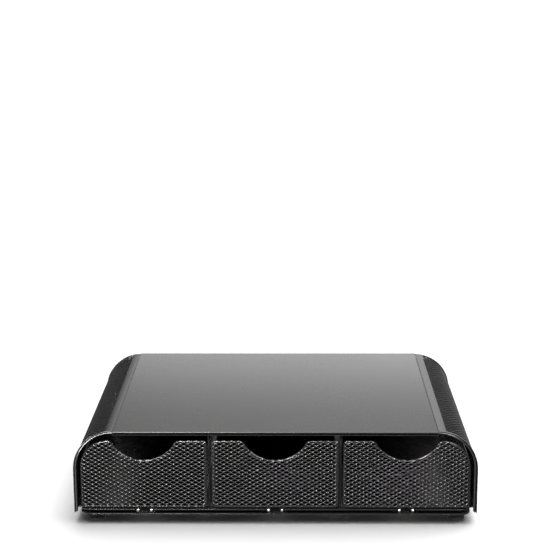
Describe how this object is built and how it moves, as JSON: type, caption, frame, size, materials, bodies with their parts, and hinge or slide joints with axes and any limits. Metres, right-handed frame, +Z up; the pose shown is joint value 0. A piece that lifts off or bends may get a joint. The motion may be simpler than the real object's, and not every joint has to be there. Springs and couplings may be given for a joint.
{
  "type": "monitor riser with drawers",
  "caption": "Low black desk riser with a smooth flat top, mesh sides that bend down to the desk, and mesh drawers that slide out at the front.",
  "frame": {"origin": "on the desk, under the middle of the riser", "axes": "+X across the riser to its right as seen from the front, +Y from the front to the back, +Z up; the drawers open along -Y"},
  "size_m": [0.48, 0.33, 0.116],
  "materials": {
    "satin_black_paint": "satin powder coat on sheet steel",
    "gloss_black_paint": "semi-gloss enamel on wire and edge channel",
    "black_mesh_paint": "satin powder coat on expanded-metal mesh",
    "black_rubber": "matte moulded",
    "zinc_plate": "bright zinc plate",
    "black_nylon": "matte moulded"
  },
  "bodies": {
    "riser": {"back_panel": "satin_black_paint", "front_header": "gloss_black_paint", "front_left_corner_plate": "gloss_black_paint", "front_left_foot": "black_rubber", "front_left_foot_screw": "zinc_plate", "front_rail": "gloss_black_paint", "front_right_corner_plate": "gloss_black_paint", "front_right_foot": "black_rubber", "front_right_foot_screw": "zinc_plate", "left_bottom_angle": "satin_black_paint", "left_divider": "gloss_black_paint", "left_front_channel": "gloss_black_paint", "left_rail": "gloss_black_paint", "left_rear_channel": "gloss_black_paint", "left_runner_a": "zinc_plate", "left_runner_b": "zinc_plate", "left_side_mesh": "black_mesh_paint", "left_top_strip": "satin_black_paint", "middle_runner_a": "zinc_plate", "middle_runner_b": "zinc_plate", "rear_header": "gloss_black_paint", "rear_left_corner_plate": "gloss_black_paint", "rear_left_foot": "black_rubber", "rear_left_foot_screw": "zinc_plate", "rear_rail": "gloss_black_paint", "rear_right_corner_plate": "gloss_black_paint", "rear_right_foot": "black_rubber", "rear_right_foot_screw": "zinc_plate", "right_bottom_angle": "satin_black_paint", "right_divider": "gloss_black_paint", "right_front_channel": "gloss_black_paint", "right_rail": "gloss_black_paint", "right_rear_channel": "gloss_black_paint", "right_runner_a": "zinc_plate", "right_runner_b": "zinc_plate", "right_side_mesh": "black_mesh_paint", "right_top_strip": "satin_black_paint", "top_liner_mesh": "black_mesh_paint", "top_plate": "satin_black_paint"},
    "left_drawer": {"left_drawer_floor": "satin_black_paint", "left_drawer_front_mesh": "black_mesh_paint", "left_drawer_front_rim": "gloss_black_paint", "left_drawer_guide_shoe": "black_nylon", "left_drawer_wall_mesh": "black_mesh_paint", "left_drawer_wall_rim": "gloss_black_paint"},
    "middle_drawer": {"middle_drawer_floor": "satin_black_paint", "middle_drawer_front_mesh": "black_mesh_paint", "middle_drawer_front_rim": "gloss_black_paint", "middle_drawer_guide_shoe": "black_nylon", "middle_drawer_wall_mesh": "black_mesh_paint", "middle_drawer_wall_rim": "gloss_black_paint"},
    "right_drawer": {"right_drawer_floor": "satin_black_paint", "right_drawer_front_mesh": "black_mesh_paint", "right_drawer_front_rim": "gloss_black_paint", "right_drawer_guide_shoe": "black_nylon", "right_drawer_wall_mesh": "black_mesh_paint", "right_drawer_wall_rim": "gloss_black_paint"}
  },
  "joints": [
    {"name": "left_drawer_slide", "type": "slide", "parent": "riser", "child": "left_drawer", "axis": [0, -1, 0], "range_m": [0, 0.225]},
    {"name": "middle_drawer_slide", "type": "slide", "parent": "riser", "child": "middle_drawer", "axis": [0, -1, 0], "range_m": [0, 0.225]},
    {"name": "right_drawer_slide", "type": "slide", "parent": "riser", "child": "right_drawer", "axis": [0, -1, 0], "range_m": [0, 0.225]}
  ]
}
